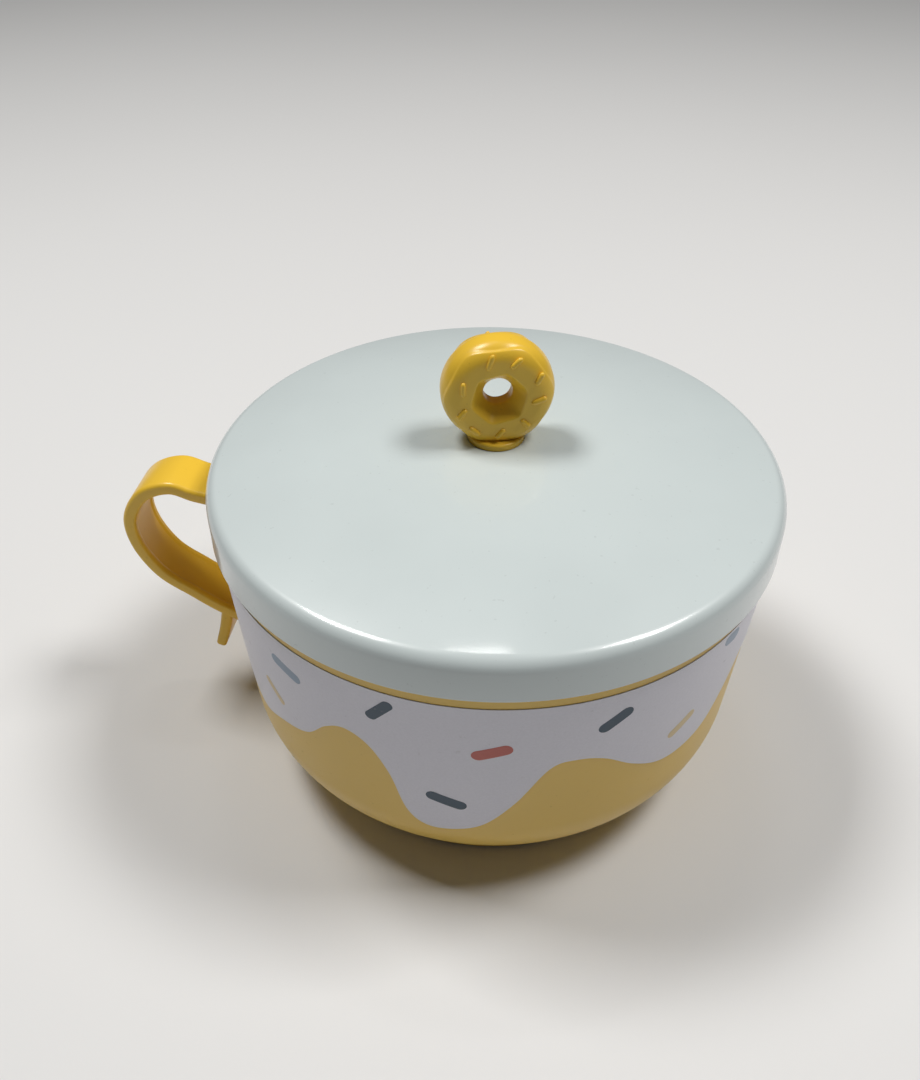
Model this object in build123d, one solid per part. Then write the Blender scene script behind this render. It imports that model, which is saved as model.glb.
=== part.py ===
from build123d import *
import os
from math import atan2, cos, degrees, radians, sin, sqrt, tan

# A toddler's suction bowl with a lid, a donut knob and a cup handle.
# Millimetres, +Z up, origin on the bowl's axis at the table, handle towards -X.

# ---- lid ----
lid_radius = 70.0
skirt_edge_height = 74.7     # lower edge of the lid's skirt above the table
skirt_depth = 10.6           # skirt edge up to the lid's shoulder
shoulder_round = 3.5
dome_rise = 7.0
lid_wall = 2.0
skirt_wall = 1.7
lid_corner_round = 1.0
seal_land_radius = 60.0      # inside this the underside follows the dome
lid_rib_thickness = 1.3
lid_rib_depth = 2.3

# ---- body ----
shell_inset = 1.4            # body's top edge inside the lid's radius
shell_draft = 4.07           # degrees
shell_wall = 2.0
belly_round = 24.2           # big rounding between wall and underside
belly_bottom = 3.6           # height the rounding would reach if it were not cut flat
seat_height = 6.5            # flat underside above the table
floor_thickness = 2.2
rebate_gap = 0.5             # skirt edge to the step below it
skirt_clearance = 0.4        # between skirt and the body's rim, on the radius
ledge_width = 3.3            # thick rim that carries the liner
ledge_depth = 4.6
ledge_slope = 2.0
step_round = 0.3

# ---- printed film ----
film_thickness = 0.2
film_top_gap = 3.2           # plain band below the step
film_sectors = 12            # the film is built in equal sectors and joined
# lower edge of the icing: degrees round the bowl, height as a share of the skirt edge height
icing_edge = [
    (196, 1.05), (203, 0.80), (208, 0.54), (217, 0.455), (227, 0.51),
    (236, 0.57), (242, 0.67), (247, 0.714), (252, 0.68), (256, 0.57), (259, 0.41),
    (263, 0.345), (269, 0.345), (275, 0.385), (281, 0.50), (287, 0.66), (292, 0.684),
    (298, 0.655), (305, 0.57), (312, 0.51), (319, 0.50), (326, 0.53), (332, 0.62),
    (338, 0.72), (345, 0.70), (353, 0.52), (361, 0.42), (370, 0.44), (379, 0.62),
    (387, 0.69), (395, 0.60), (404, 0.40), (413, 0.37), (422, 0.44), (431, 0.63),
    (439, 0.71), (448, 0.64), (458, 0.49), (468, 0.45), (478, 0.53), (487, 0.68),
    (495, 0.66), (503, 0.50), (509, 0.52), (516, 0.80), (523, 1.05),
]

# ---- foot ----
foot_lift = 0.8              # foot above the table while the cup is relaxed
foot_thickness = 2.6
foot_margin = 0.1            # foot ring inside the edge of the flat underside
foot_round = 0.8
tongue_width = 1.0
tongue_depth = 1.1
tongue_clearance = 0.05

# ---- suction cup ----
cup_gap = 2.4                # cup edge to the foot ring
cup_lip_width = 3.5
cup_edge_thickness = 1.2
cup_travel_gap = 1.1         # cup's crown below the underside
cup_hollow = 2.5
crown_radius = 10.0
stem_radius = 4.0
stem_clearance = 0.4
retainer_radius = 9.0
retainer_thickness = 2.0
button_radius = 6.5
button_height = 2.4

# ---- steel liner ----
steel_thickness = 0.6
flange_overlap = 0.9         # liner flange edge inside the body's rim
bead_radius = 0.55
bead_drop = 0.3
liner_gap = 3.2              # liner wall inside the body's ledge
liner_floor_height = 16.0
liner_round = 18.0
neck_round = 1.2

# ---- seals ----
liner_gasket_thickness = 0.7
gasket_leg = 0.8
gasket_leg_depth = 3.0
lid_gasket_height = 3.0
lid_gasket_width = 3.8
gasket_groove_width = 1.2
gasket_groove_depth = 1.1
seal_fit = 0.3

# ---- handle ----
ribbon_width = 14.0
ribbon_thickness = 3.5
ribbon_round = 1.1
handle_reach = 27.4          # ribbon's centre line beyond the body's top edge
handle_top = 69.8            # upper root above the table
handle_bottom = 28.4         # lower root
spur_length = 14.5
spur_round = 0.3             # share of its thickness
# centre line, as shares of the reach outwards and of the root spacing upwards
ribbon_line = [
    (0.27, 1.03), (0.52, 1.075), (0.80, 1.0), (0.98, 0.81), (0.965, 0.59), (0.80, 0.37),
    (0.54, 0.225), (0.27, 0.09),
]

# ---- handle screws ----
screw_radius = 1.0
screw_head_radius = 1.9
screw_head_height = 1.3
screw_grip = 6.0
screw_clearance = 0.05
boss_radius = 2.6
boss_height = 0.9
head_gap = 0.15
socket_share = 0.7           # of the shank's radius
socket_floor = 0.5

# ---- knob ----
donut_radius = 13.35
donut_ring = 9.95            # ring's thickness on the radius
donut_depth = 10.0
donut_round = 4.2
knob_turn = -78.0            # degrees: where the donut's face looks
foot_disc_radius = 6.9
foot_disc_thickness = 1.7
foot_disc_sink = 0.2
donut_sink = 1.6
icing_relief = 0.5
icing_radius = 13.75         # to the corners before they are rounded
icing_corner_round = 6.0
icing_turn = 5.0             # degrees
mouth_radius = 7.0
mouth_depth = 3.8
mouth_turn = -15.0           # degrees
sprinkle_radius = 0.5
sprinkle_stand = 0.12        # sprinkle's centre line above the icing
# raised sprinkles on the donut: right, up, turn in degrees, length
knob_sprinkles = [
    (-2.3, 9.7, 72, 2.8), (3.6, 9.3, 44, 2.3), (9.0, 5.1, 63, 2.3),
    (9.2, -0.6, 21, 2.5), (6.2, -6.6, -43, 1.6), (0.4, -9.2, 48, 1.8),
    (-5.6, -8.3, -43, 2.1), (-8.6, -3.6, 54, 2.0), (-8.4, 3.0, 88, 2.4),
]

# ---- knob screw ----
knob_screw_radius = 1.5
knob_screw_head_radius = 2.8
knob_screw_head_height = 2.0
knob_screw_reach = 6.3       # above the lid's top
hole_clearance = 0.2
slot_width = 0.7
slot_depth = 1.2
slot_length = 3.6
pocket_radius = 4.9
pocket_wall = 1.4
pocket_depth = 3.0
cap_thickness = 0.8
cap_fit = 0.05
seal_outer_radius = 5.2
seal_thickness = 0.7

# ---- sizes that follow from the ones above ----
lid_edge_height = skirt_edge_height + skirt_depth
lid_top = lid_edge_height + dome_rise
lid_ceiling = lid_edge_height - lid_wall
flange_top = lid_ceiling - lid_gasket_height
flange_bottom = flange_top - steel_thickness
rim_height = flange_bottom - liner_gasket_thickness
rim_radius = lid_radius - skirt_wall - skirt_clearance
rim_inner_radius = rim_radius - ledge_width
step_height = skirt_edge_height - rebate_gap
step_radius = lid_radius - shell_inset
draft_slope = tan(radians(shell_draft))
belly_centre_height = belly_bottom + belly_round
floor_top = seat_height + floor_thickness
liner_neck_radius = rim_inner_radius - seal_fit - gasket_leg
flange_radius = rim_radius - flange_overlap
cavity = 200.0               # large enough to cut right through


def wall_radius(height):
    """Radius of the body's tapered wall at a height."""
    return step_radius - (step_height - height) * draft_slope


belly_centre_radius = wall_radius(belly_centre_height) - belly_round / cos(radians(shell_draft))
seat_radius = belly_centre_radius + sqrt(
    belly_round ** 2 - (belly_centre_height - seat_height) ** 2)
foot_radius = seat_radius - foot_margin
foot_inner_radius = foot_radius - foot_thickness
cup_radius = foot_inner_radius - cup_gap


def outline(points, rounds=()):
    """Closed profile in radius and height, with chosen corners rounded."""
    face = make_face(Polyline(*points, close=True))
    for corner, radius in rounds:
        nearest = face.vertices().sort_by_distance((corner[0], corner[1], 0))[0]
        face = fillet(nearest, radius)
    return face


def turned(face):
    """Solid of revolution about the bowl's axis."""
    return revolve(Plane.XZ * face, Axis.Z)


def ring(inner, outer, bottom, top):
    """Plain ring about the bowl's axis."""
    return turned(outline([(inner, bottom), (outer, bottom), (outer, top), (inner, top)]))


def disc(radius, bottom, top):
    """Plain disc on the bowl's axis."""
    return Pos(0, 0, bottom) * Cylinder(radius, top - bottom,
                                        align=(Align.CENTER, Align.CENTER, Align.MIN))


def outward(radius, height, bottom, top):
    """Cylinder lying along -X at a height, from one distance to another."""
    lying = Rot(0, -90, 0) * Cylinder(radius, top - bottom,
                                      align=(Align.CENTER, Align.CENTER, Align.MIN))
    return Pos(-bottom, 0, height) * lying


def shell_blank():
    """The body's outer form, solid, cut flat at the bottom."""
    corner = (wall_radius(belly_bottom), belly_bottom)
    step = (step_radius, step_height)
    face = outline(
        [(0, belly_bottom), corner, step, (rim_radius, step_height),
         (rim_radius, rim_height), (0, rim_height)],
        [(corner, belly_round), (step, step_round)])
    return turned(face) - disc(cavity, belly_bottom - 1, seat_height)


def shell_hollow():
    """The space inside the body."""
    thickness = shell_wall / cos(radians(shell_draft))
    low = belly_bottom + shell_wall
    corner = (wall_radius(low) - thickness, low)
    slope_bottom = rim_height - ledge_depth - ledge_slope
    face = outline(
        [(0, low), corner, (wall_radius(slope_bottom) - thickness, slope_bottom),
         (rim_inner_radius, rim_height - ledge_depth), (rim_inner_radius, rim_height + 1),
         (0, rim_height + 1)],
        [(corner, belly_round - shell_wall)])
    return turned(face) - disc(cavity, low - 1, floor_top)


def boss_face(height):
    """Distance from the axis of the flat a handle screw's head sits on."""
    return wall_radius(height) - shell_wall - boss_height


def outer_shell():
    """Tapered body with its rim, floor, screw bosses and foot groove."""
    body = shell_blank() - shell_hollow()
    for height in (handle_top, handle_bottom):
        start = boss_face(height)
        boss = outward(boss_radius, height, start, wall_radius(height) - shell_wall / 2)
        hole = outward(screw_radius + screw_clearance, height, start - 1, step_radius + 1)
        body = body + boss - hole
    body -= disc(stem_radius + stem_clearance, 0, floor_top + 1)
    middle = foot_inner_radius + foot_thickness / 2
    half = tongue_width / 2 + tongue_clearance
    body -= ring(middle - half, middle + half, seat_height - 1,
                 seat_height + tongue_depth + tongue_clearance)
    return body


def icing_label():
    """Thin printed film round the body, open at the handle, with a dripping edge."""
    top = step_height - film_top_gap
    low = belly_centre_height - belly_round * sin(radians(shell_draft))
    section = Plane.XZ * outline([
        (wall_radius(low), low), (wall_radius(low) + film_thickness, low),
        (wall_radius(top) + film_thickness, top), (wall_radius(top), top)])
    edges = []
    for radius in (step_radius - belly_round, step_radius + shell_wall):
        edges.append(Spline(*[
            (radius * cos(radians(turn)), radius * sin(radians(turn)),
             share * skirt_edge_height)
            for turn, share in icing_edge]).edge())
    above = extrude(Face.make_surface_from_curves(*edges), amount=cavity, dir=(0, 0, 1))
    start = icing_edge[0][0] + 1
    arc = (icing_edge[-1][0] - 1 - start) / film_sectors
    sectors = []
    for number in range(film_sectors):
        sector = Rot(0, 0, start + number * arc) * revolve(section, Axis.Z, arc)
        sectors += (sector & above).solids()
    return sectors[0].fuse(*sectors[1:])


def base_ring():
    """Low foot with a tongue that sits in the body's groove."""
    middle = foot_inner_radius + foot_thickness / 2
    half = tongue_width / 2
    face = outline(
        [(foot_inner_radius, foot_lift), (foot_radius, foot_lift), (foot_radius, seat_height),
         (middle + half, seat_height), (middle + half, seat_height + tongue_depth),
         (middle - half, seat_height + tongue_depth), (middle - half, seat_height),
         (foot_inner_radius, seat_height)],
        [((foot_radius, foot_lift), foot_round), ((foot_inner_radius, foot_lift), foot_round)])
    return turned(face)


def hollow_height(radius):
    """Height of the cup's hollow underside at a radius."""
    lip_inner = cup_radius - cup_lip_width
    sphere = (lip_inner ** 2 + cup_hollow ** 2) / (2 * cup_hollow)
    return cup_hollow - sphere + sqrt(sphere ** 2 - radius ** 2)


def suction_cup():
    """Shallow silicone cup with a stem and a button above the body's floor."""
    lip_inner = cup_radius - cup_lip_width
    crown = seat_height - cup_travel_gap
    neck_top = floor_top + retainer_thickness
    with BuildSketch() as profile:
        with BuildLine():
            Line((0, cup_hollow), (0, neck_top + button_height))
            Line((0, neck_top + button_height), (button_radius * 0.5, neck_top + button_height))
            ThreePointArc((button_radius * 0.5, neck_top + button_height),
                          (button_radius * 0.87, neck_top + button_height * 0.7),
                          (button_radius, neck_top))
            Line((button_radius, neck_top), (stem_radius, neck_top))
            Line((stem_radius, neck_top), (stem_radius, crown))
            Line((stem_radius, crown), (crown_radius, crown))
            ThreePointArc((crown_radius, crown),
                          ((crown_radius + cup_radius) / 2, crown * 0.74),
                          (cup_radius, cup_edge_thickness))
            Line((cup_radius, cup_edge_thickness), (cup_radius, 0))
            Line((cup_radius, 0), (lip_inner, 0))
            ThreePointArc((lip_inner, 0), (lip_inner / 2, hollow_height(lip_inner / 2)),
                          (0, cup_hollow))
        make_face()
    return turned(profile.sketch)


def cup_retainer():
    """Hard ring round the stem, under its button."""
    hole = stem_radius + cap_fit
    face = outline(
        [(hole, floor_top), (retainer_radius, floor_top),
         (retainer_radius, floor_top + retainer_thickness),
         (hole, floor_top + retainer_thickness)],
        [((retainer_radius, floor_top + retainer_thickness), retainer_thickness / 4)])
    return turned(face)


def liner_radius(height):
    """Outer radius of the liner's wall at a height."""
    return liner_neck_radius - (flange_bottom - height) * draft_slope


def steel_liner():
    """Drawn steel food bowl with a flange and a rolled edge."""
    skin = steel_thickness / cos(radians(shell_draft))
    floor = liner_floor_height
    outer_corner = (liner_radius(floor), floor)
    inner_corner = (liner_radius(floor + steel_thickness) - skin, floor + steel_thickness)
    neck_outer = (liner_neck_radius, flange_bottom)
    neck_inner = (liner_radius(flange_top) - skin, flange_top)
    face = outline(
        [(0, floor), outer_corner, neck_outer, (flange_radius, flange_bottom),
         (flange_radius, flange_top), neck_inner, inner_corner,
         (0, floor + steel_thickness)],
        [(outer_corner, liner_round), (inner_corner, liner_round - steel_thickness),
         (neck_inner, neck_round)])
    bead_height = flange_top - bead_drop
    bead = turned(Pos(flange_radius - bead_radius, bead_height) * Circle(bead_radius))
    return turned(face) + bead


def liner_gasket():
    """Silicone ring under the flange, with a leg that centres the liner."""
    outer = flange_radius - 2 * bead_radius - seal_fit
    leg_bottom = rim_height - gasket_leg_depth
    face = outline([
        (liner_neck_radius, flange_bottom), (outer, flange_bottom), (outer, rim_height),
        (liner_neck_radius + gasket_leg, rim_height),
        (liner_neck_radius + gasket_leg, leg_bottom),
        (liner_neck_radius, leg_bottom)])
    return turned(face)


def dome_height(radius):
    """Height of the lid's outer surface at a radius, before the shoulder's rounding."""
    sphere = (lid_radius ** 2 + dome_rise ** 2) / (2 * dome_rise)
    return lid_top - sphere + sqrt(sphere ** 2 - radius ** 2)


def lid_shell():
    """Domed lid with a skirt, a gasket rib and the knob screw's pocket."""
    shoulder = (lid_radius, lid_edge_height)
    with BuildSketch() as dome:
        with BuildLine():
            Line((0, skirt_edge_height), (lid_radius, skirt_edge_height))
            Line((lid_radius, skirt_edge_height), shoulder)
            ThreePointArc(shoulder, (lid_radius / 2, dome_height(lid_radius / 2)), (0, lid_top))
            Line((0, lid_top), (0, skirt_edge_height))
        make_face()
    outer = dome.sketch
    corner = outer.vertices().sort_by_distance((*shoulder, 0))[0]
    outer = fillet(corner, shoulder_round)
    bottom_edge = outer.vertices().sort_by_distance((lid_radius, skirt_edge_height, 0))[0]
    outer = fillet(bottom_edge, step_round)
    inner_radius = lid_radius - skirt_wall
    under = outline(
        [(0, skirt_edge_height - 1), (inner_radius, skirt_edge_height - 1),
         (inner_radius, lid_ceiling), (0, lid_ceiling)],
        [((inner_radius, lid_ceiling), lid_corner_round)])
    with BuildSketch() as bulge:
        with BuildLine():
            land = dome_height(seal_land_radius) - lid_wall
            Line((0, lid_ceiling - 1), (seal_land_radius, lid_ceiling - 1))
            Line((seal_land_radius, lid_ceiling - 1), (seal_land_radius, land))
            ThreePointArc((seal_land_radius, land),
                          (seal_land_radius / 2, dome_height(seal_land_radius / 2) - lid_wall),
                          (0, lid_top - lid_wall))
            Line((0, lid_top - lid_wall), (0, lid_ceiling - 1))
        make_face()
    lid = turned(outer) - turned(under) - turned(bulge.sketch)
    rib_outer = liner_neck_radius - seal_fit
    lid += ring(rib_outer - lid_rib_thickness, rib_outer, lid_ceiling - lid_rib_depth,
                lid_ceiling + lid_wall / 2)
    pocket_roof = lid_top - lid_wall - foot_disc_sink
    lid += disc(pocket_radius + pocket_wall, pocket_roof - pocket_depth, lid_top - lid_wall / 2)
    lid -= disc(pocket_radius, pocket_roof - pocket_depth - 1, pocket_roof)
    lid -= disc(foot_disc_radius + hole_clearance, lid_top - foot_disc_sink, lid_top + 1)
    return lid - disc(knob_screw_radius + hole_clearance, skirt_edge_height, lid_top + 1)


def lid_gasket():
    """Silicone seal with two lips, held round the lid's rib."""
    inner = liner_neck_radius - seal_fit + cap_fit
    outer = min(inner + lid_gasket_width, flange_radius - 2 * bead_radius - seal_fit)
    middle = (inner + outer) / 2
    half = gasket_groove_width / 2
    face = outline([
        (inner, flange_top), (middle - half, flange_top),
        (middle - half, flange_top + gasket_groove_depth),
        (middle + half, flange_top + gasket_groove_depth),
        (middle + half, flange_top), (outer, flange_top),
        (outer, lid_ceiling), (inner, lid_ceiling)])
    return turned(face)


def face_outline(radius, rounding, turn):
    """Six-cornered outline with soft corners."""
    return fillet(RegularPolygon(radius, 6, rotation=turn).vertices(), rounding)


def donut():
    """Donut with its axis along Z: icing relief and a six-sided mouth on both faces."""
    middle = donut_radius - donut_ring / 2
    section = Pos(middle, 0) * RectangleRounded(donut_ring, donut_depth, donut_round)
    body = turned(section)
    half = donut_depth / 2
    plate = extrude(face_outline(icing_radius, icing_corner_round, icing_turn),
                    amount=half + icing_relief, both=True)
    form = Cylinder(donut_radius + icing_relief, donut_depth + 2 * icing_relief)
    plate &= fillet(form.edges().filter_by(GeomType.CIRCLE), donut_round + icing_relief)
    hole_radius = donut_radius - donut_ring
    plate -= Cylinder(hole_radius, 2 * donut_depth)
    body += plate
    mouth_taper = degrees(atan2((mouth_radius - hole_radius) * cos(radians(30)), mouth_depth))
    rim = RegularPolygon(mouth_radius, 6, rotation=mouth_turn)
    mouth = extrude(rim, amount=mouth_depth, taper=mouth_taper) + extrude(rim, amount=-1)
    for turn in (0, 180):
        body -= Rot(turn, 0, 0) * Pos(0, 0, -half - icing_relief) * mouth
    for right, up, turn, length in knob_sprinkles:
        for side in (1, -1):
            level = side * (half + icing_relief + sprinkle_stand)
            place = Pos(right, up, level) * Rot(0, 0, turn) * Rot(0, 90, 0)
            bar = Cylinder(sprinkle_radius, length + 2 * sprinkle_radius)
            body += place * bar
    return body


def donut_knob():
    """Upright donut on a round foot, with a blind hole for the screw."""
    seat = lid_top - foot_disc_sink
    centre = seat + foot_disc_thickness - donut_sink + donut_radius
    upright = Rot(0, 0, knob_turn + 90) * Rot(90, 0, 0) * donut()
    foot = disc(foot_disc_radius, seat, seat + foot_disc_thickness)
    foot = fillet(foot.faces().sort_by(Axis.Z)[-1].edges(), foot_disc_thickness / 4)
    knob = foot + Pos(0, 0, centre) * upright
    knob -= disc(donut_radius, seat - donut_radius, seat)
    knob -= disc(seal_outer_radius + cap_fit, seat - 1, seat + seal_thickness)
    pilot = knob_screw_radius + screw_clearance
    return knob - disc(pilot, seat, lid_top + knob_screw_reach + head_gap)


def knob_seal():
    """Silicone washer in the underside of the knob's foot."""
    seat = lid_top - foot_disc_sink
    return ring(knob_screw_radius + hole_clearance, seal_outer_radius, seat,
                seat + seal_thickness)


def knob_screw():
    """Pan-head screw from the pocket under the lid up into the knob."""
    roof = lid_top - lid_wall - foot_disc_sink
    head = disc(knob_screw_head_radius, roof - knob_screw_head_height, roof)
    head = fillet(head.faces().sort_by(Axis.Z)[0].edges(), knob_screw_head_height / 4)
    head += disc(knob_screw_radius, roof, lid_top + knob_screw_reach)
    slot = Box(slot_length, slot_width, slot_depth) + Box(slot_width, slot_length, slot_depth)
    return head - Pos(0, 0, roof - knob_screw_head_height) * slot


def screw_cap():
    """Snap-in cap that closes the screw's pocket."""
    bottom = lid_top - lid_wall - foot_disc_sink - pocket_depth
    return disc(pocket_radius - cap_fit, bottom, bottom + cap_thickness)


def ribbon_point(share):
    """Point of the handle's centre line, in distance from the axis and height."""
    reach, rise = share
    root = wall_radius(handle_bottom) + (step_radius - wall_radius(handle_bottom)) * rise
    height = handle_bottom + (handle_top - handle_bottom) * rise
    return root + (step_radius + handle_reach - root) * reach, height


def spur():
    """Small curled tail below the handle's lower root."""
    root_r, root_z = ribbon_point(ribbon_line[-1])
    middle_r = root_r + spur_length * 0.1
    tip_r = root_r + spur_length * 0.22
    path = Spline((root_r - 1.0, 0, root_z + 0.6),
                  (middle_r - 0.6, 0, root_z - spur_length * 0.5),
                  (tip_r, 0, root_z - spur_length))
    sections = []
    for along, size in ((0, 1.0), (0.5, 0.92), (1.0, 0.8)):
        place = Plane(origin=path @ along, x_dir=(0, 1, 0), z_dir=path % along)
        thickness = ribbon_thickness * size
        width = ribbon_width - ribbon_thickness + thickness
        sections.append(place * RectangleRounded(width, thickness, thickness * spur_round))
    blade = loft(sections)
    tip = blade.faces().sort_by(Axis.Z)[0]
    return fillet(tip.edges(), ribbon_thickness * spur_round / 2)


def ribbon():
    """The handle's band, swept along its centre line."""
    start = (wall_radius(handle_top) - shell_wall, handle_top)
    end = (wall_radius(handle_bottom) - shell_wall, handle_bottom)
    line = [start] + [ribbon_point(share) for share in ribbon_line] + [end]
    path = Spline(*[(radius, 0, height) for radius, height in line],
                  tangents=[(1, 0, 0), (-1, 0, 0)])
    place = Plane(origin=path @ 0, x_dir=(0, 1, 0), z_dir=path % 0)
    return sweep(place * RectangleRounded(ribbon_width, ribbon_thickness, ribbon_round), path)


def handle_loop():
    """Ribbon handle in one piece with its spur, trimmed to the body's wall."""
    loop = Rot(0, 0, 180) * (ribbon() + spur())
    loop -= shell_blank()
    for height in (handle_top, handle_bottom):
        tip = boss_face(height) + screw_grip + head_gap
        loop -= outward(screw_radius + screw_clearance, height, step_radius / 2, tip)
    return loop


def handle_screws():
    """Two identical screws driven outwards from inside the body."""
    screws = []
    for height in (handle_top, handle_bottom):
        seat = boss_face(height)
        head = outward(screw_head_radius, height, seat - screw_head_height, seat)
        shank = outward(screw_radius, height, seat, seat + screw_grip)
        socket = outward(screw_radius * socket_share, height, seat - screw_head_height,
                         seat - socket_floor)
        screws.append(head + shank - socket)
    return Compound(screws)


builders = [
    outer_shell, icing_label, base_ring, handle_loop, handle_screws, steel_liner,
    liner_gasket, lid_shell, lid_gasket, donut_knob, knob_seal, knob_screw, screw_cap,
    suction_cup, cup_retainer,
]
os.makedirs("parts", exist_ok=True)
for builder in builders:
    export_step(builder(), f"parts/{builder.__name__}.step")
    print(builder.__name__)
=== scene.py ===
import math
import bmesh
import bpy
from mathutils import Matrix, Vector


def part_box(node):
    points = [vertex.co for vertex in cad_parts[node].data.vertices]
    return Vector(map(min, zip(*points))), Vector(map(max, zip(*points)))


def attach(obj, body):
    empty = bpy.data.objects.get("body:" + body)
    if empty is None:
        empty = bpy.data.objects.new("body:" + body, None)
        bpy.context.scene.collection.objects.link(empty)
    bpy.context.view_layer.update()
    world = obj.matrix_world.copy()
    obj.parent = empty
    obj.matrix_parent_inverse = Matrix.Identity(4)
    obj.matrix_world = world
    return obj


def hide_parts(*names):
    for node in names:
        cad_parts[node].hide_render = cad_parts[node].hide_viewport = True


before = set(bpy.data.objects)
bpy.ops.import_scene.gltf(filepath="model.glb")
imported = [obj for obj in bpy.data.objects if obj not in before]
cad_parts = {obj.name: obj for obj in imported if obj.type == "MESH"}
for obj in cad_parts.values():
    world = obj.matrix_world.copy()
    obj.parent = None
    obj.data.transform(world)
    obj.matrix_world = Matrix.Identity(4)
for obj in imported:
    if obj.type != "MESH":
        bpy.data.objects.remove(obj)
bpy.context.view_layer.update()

mm = 0.001
print("frame loaded:", len(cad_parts), "nodes")


# a node's lowest and highest corner, in millimetres
def nodeBox(name):
    return [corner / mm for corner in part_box(name)]


# an arithmetic method that adds one Math node; swapped gives the reflected form
def mathMethod(operation, swapped=False):
    def apply(self, other):
        pair = (other, self) if swapped else (self, other)
        node = self.recipe.make("ShaderNodeMath", {"operation": operation},
                                dict(enumerate(pair)))
        return Signal(self.recipe, node.outputs[0])
    return apply


# a shader value that can be added, subtracted, multiplied and raised to a power
class Signal:
    def __init__(self, recipe, socket):
        self.recipe = recipe
        self.socket = socket

    __add__ = mathMethod("ADD")
    __radd__ = mathMethod("ADD", True)
    __sub__ = mathMethod("SUBTRACT")
    __rsub__ = mathMethod("SUBTRACT", True)
    __mul__ = mathMethod("MULTIPLY")
    __rmul__ = mathMethod("MULTIPLY", True)
    __pow__ = mathMethod("POWER")


# one material's node tree, built up a node at a time
class Recipe:
    def __init__(self, name, settings):
        self.material = bpy.data.materials.new(name)
        self.material.use_nodes = True
        self.tree = self.material.node_tree
        self.tree.nodes.clear()
        self.shader = self.make("ShaderNodeBsdfPrincipled", {}, settings)
        output = self.make("ShaderNodeOutputMaterial", {}, {})
        self.tree.links.new(self.shader.outputs[0], output.inputs["Surface"])
        self.place = self.make("ShaderNodeTexCoord", {}, {}).outputs["Object"]

    # any node: its type, its settings first, then the values or links of its sockets
    def make(self, kind, settings, sockets):
        node = self.tree.nodes.new(kind)
        for name, value in settings.items():
            if name == "stops":
                ramp = node.color_ramp.elements
                while len(ramp) < len(value):
                    ramp.new(0.5)
                for element, (position, colour) in zip(ramp, value):
                    element.position = position
                    element.color = colour
            else:
                setattr(node, name, value)
        for name, value in sockets.items():
            source = value.socket if isinstance(value, Signal) else value
            if isinstance(source, bpy.types.NodeSocket):
                self.tree.links.new(source, node.inputs[name])
            else:
                node.inputs[name].default_value = source
        return node

    def grain(self, scale, detail=2.0, vector=None, rough=0.5):
        node = self.make("ShaderNodeTexNoise", {}, {
            "Vector": vector or self.place, "Scale": scale, "Detail": detail,
            "Roughness": rough})
        return Signal(self, node.outputs["Fac"])

    # 0 below low, 1 above high
    def between(self, signal, low, high):
        node = self.make("ShaderNodeMapRange", {"interpolation_type": "SMOOTHSTEP"}, {
            "Value": signal, "From Min": low, "From Max": high})
        return Signal(self, node.outputs["Result"])

    def mixed(self, factor, first, second):
        node = self.make("ShaderNodeMix", {"data_type": "RGBA"}, {0: factor, 6: first, 7: second})
        return node.outputs[2]

    def relief(self, height, distance, strength=1.0, below=None):
        sockets = {"Height": height, "Distance": distance, "Strength": strength}
        if below is not None:
            sockets["Normal"] = below
        return self.make("ShaderNodeBump", {}, sockets).outputs[0]

    def feed(self, **links):
        names = {"colour": "Base Color", "roughness": "Roughness", "normal": "Normal"}
        for name, value in links.items():
            source = value.socket if isinstance(value, Signal) else value
            self.tree.links.new(source, self.shader.inputs[names[name]])
        return self.material


def tone(colour, factor):
    return (*[channel * factor for channel in colour], 1.0)


# fine hairline scratches along faint arcs, in patches: 0 mostly, 1 on a scratch
def hairlines(recipe, scale, amount):
    split = recipe.make("ShaderNodeSeparateXYZ", {}, {0: recipe.place})
    across = Signal(recipe, split.outputs[0])
    along = Signal(recipe, split.outputs[1]) + 0.012
    distance = (across * across + along * along) ** 0.5
    height = Signal(recipe, split.outputs[2])
    arcs = recipe.make("ShaderNodeCombineXYZ", {}, {
        0: distance * scale, 1: (across - along) * (scale * 0.02), 2: height * scale})
    streak = recipe.between(recipe.grain(1.0, 1.0, arcs.outputs[0]), 1 - amount, 1.1 - amount)
    patch = recipe.between(recipe.grain(42.0, 2.0), 0.50, 0.70)
    return streak * patch


colours = {
    "body": (0.74, 0.495, 0.105), "knob": (0.84, 0.53, 0.045), "mint": (0.60, 0.665, 0.668),
    "white": (0.80, 0.80, 0.77), "film": (0.70, 0.69, 0.76), "silicone": (0.78, 0.79, 0.76),
    "dullSteel": (0.56, 0.565, 0.57), "brightSteel": (0.74, 0.745, 0.75),
    "wornInk": (0.42, 0.40, 0.42), "floor": (0.74, 0.74, 0.74), "paleFloor": (0.76, 0.76, 0.76),
}
inkColours = {
    "teal": (0.018, 0.052, 0.092),
    "red": (0.48, 0.10, 0.075),
    "blue": (0.25, 0.33, 0.44),
    "straw": (0.66, 0.52, 0.29),
}


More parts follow.
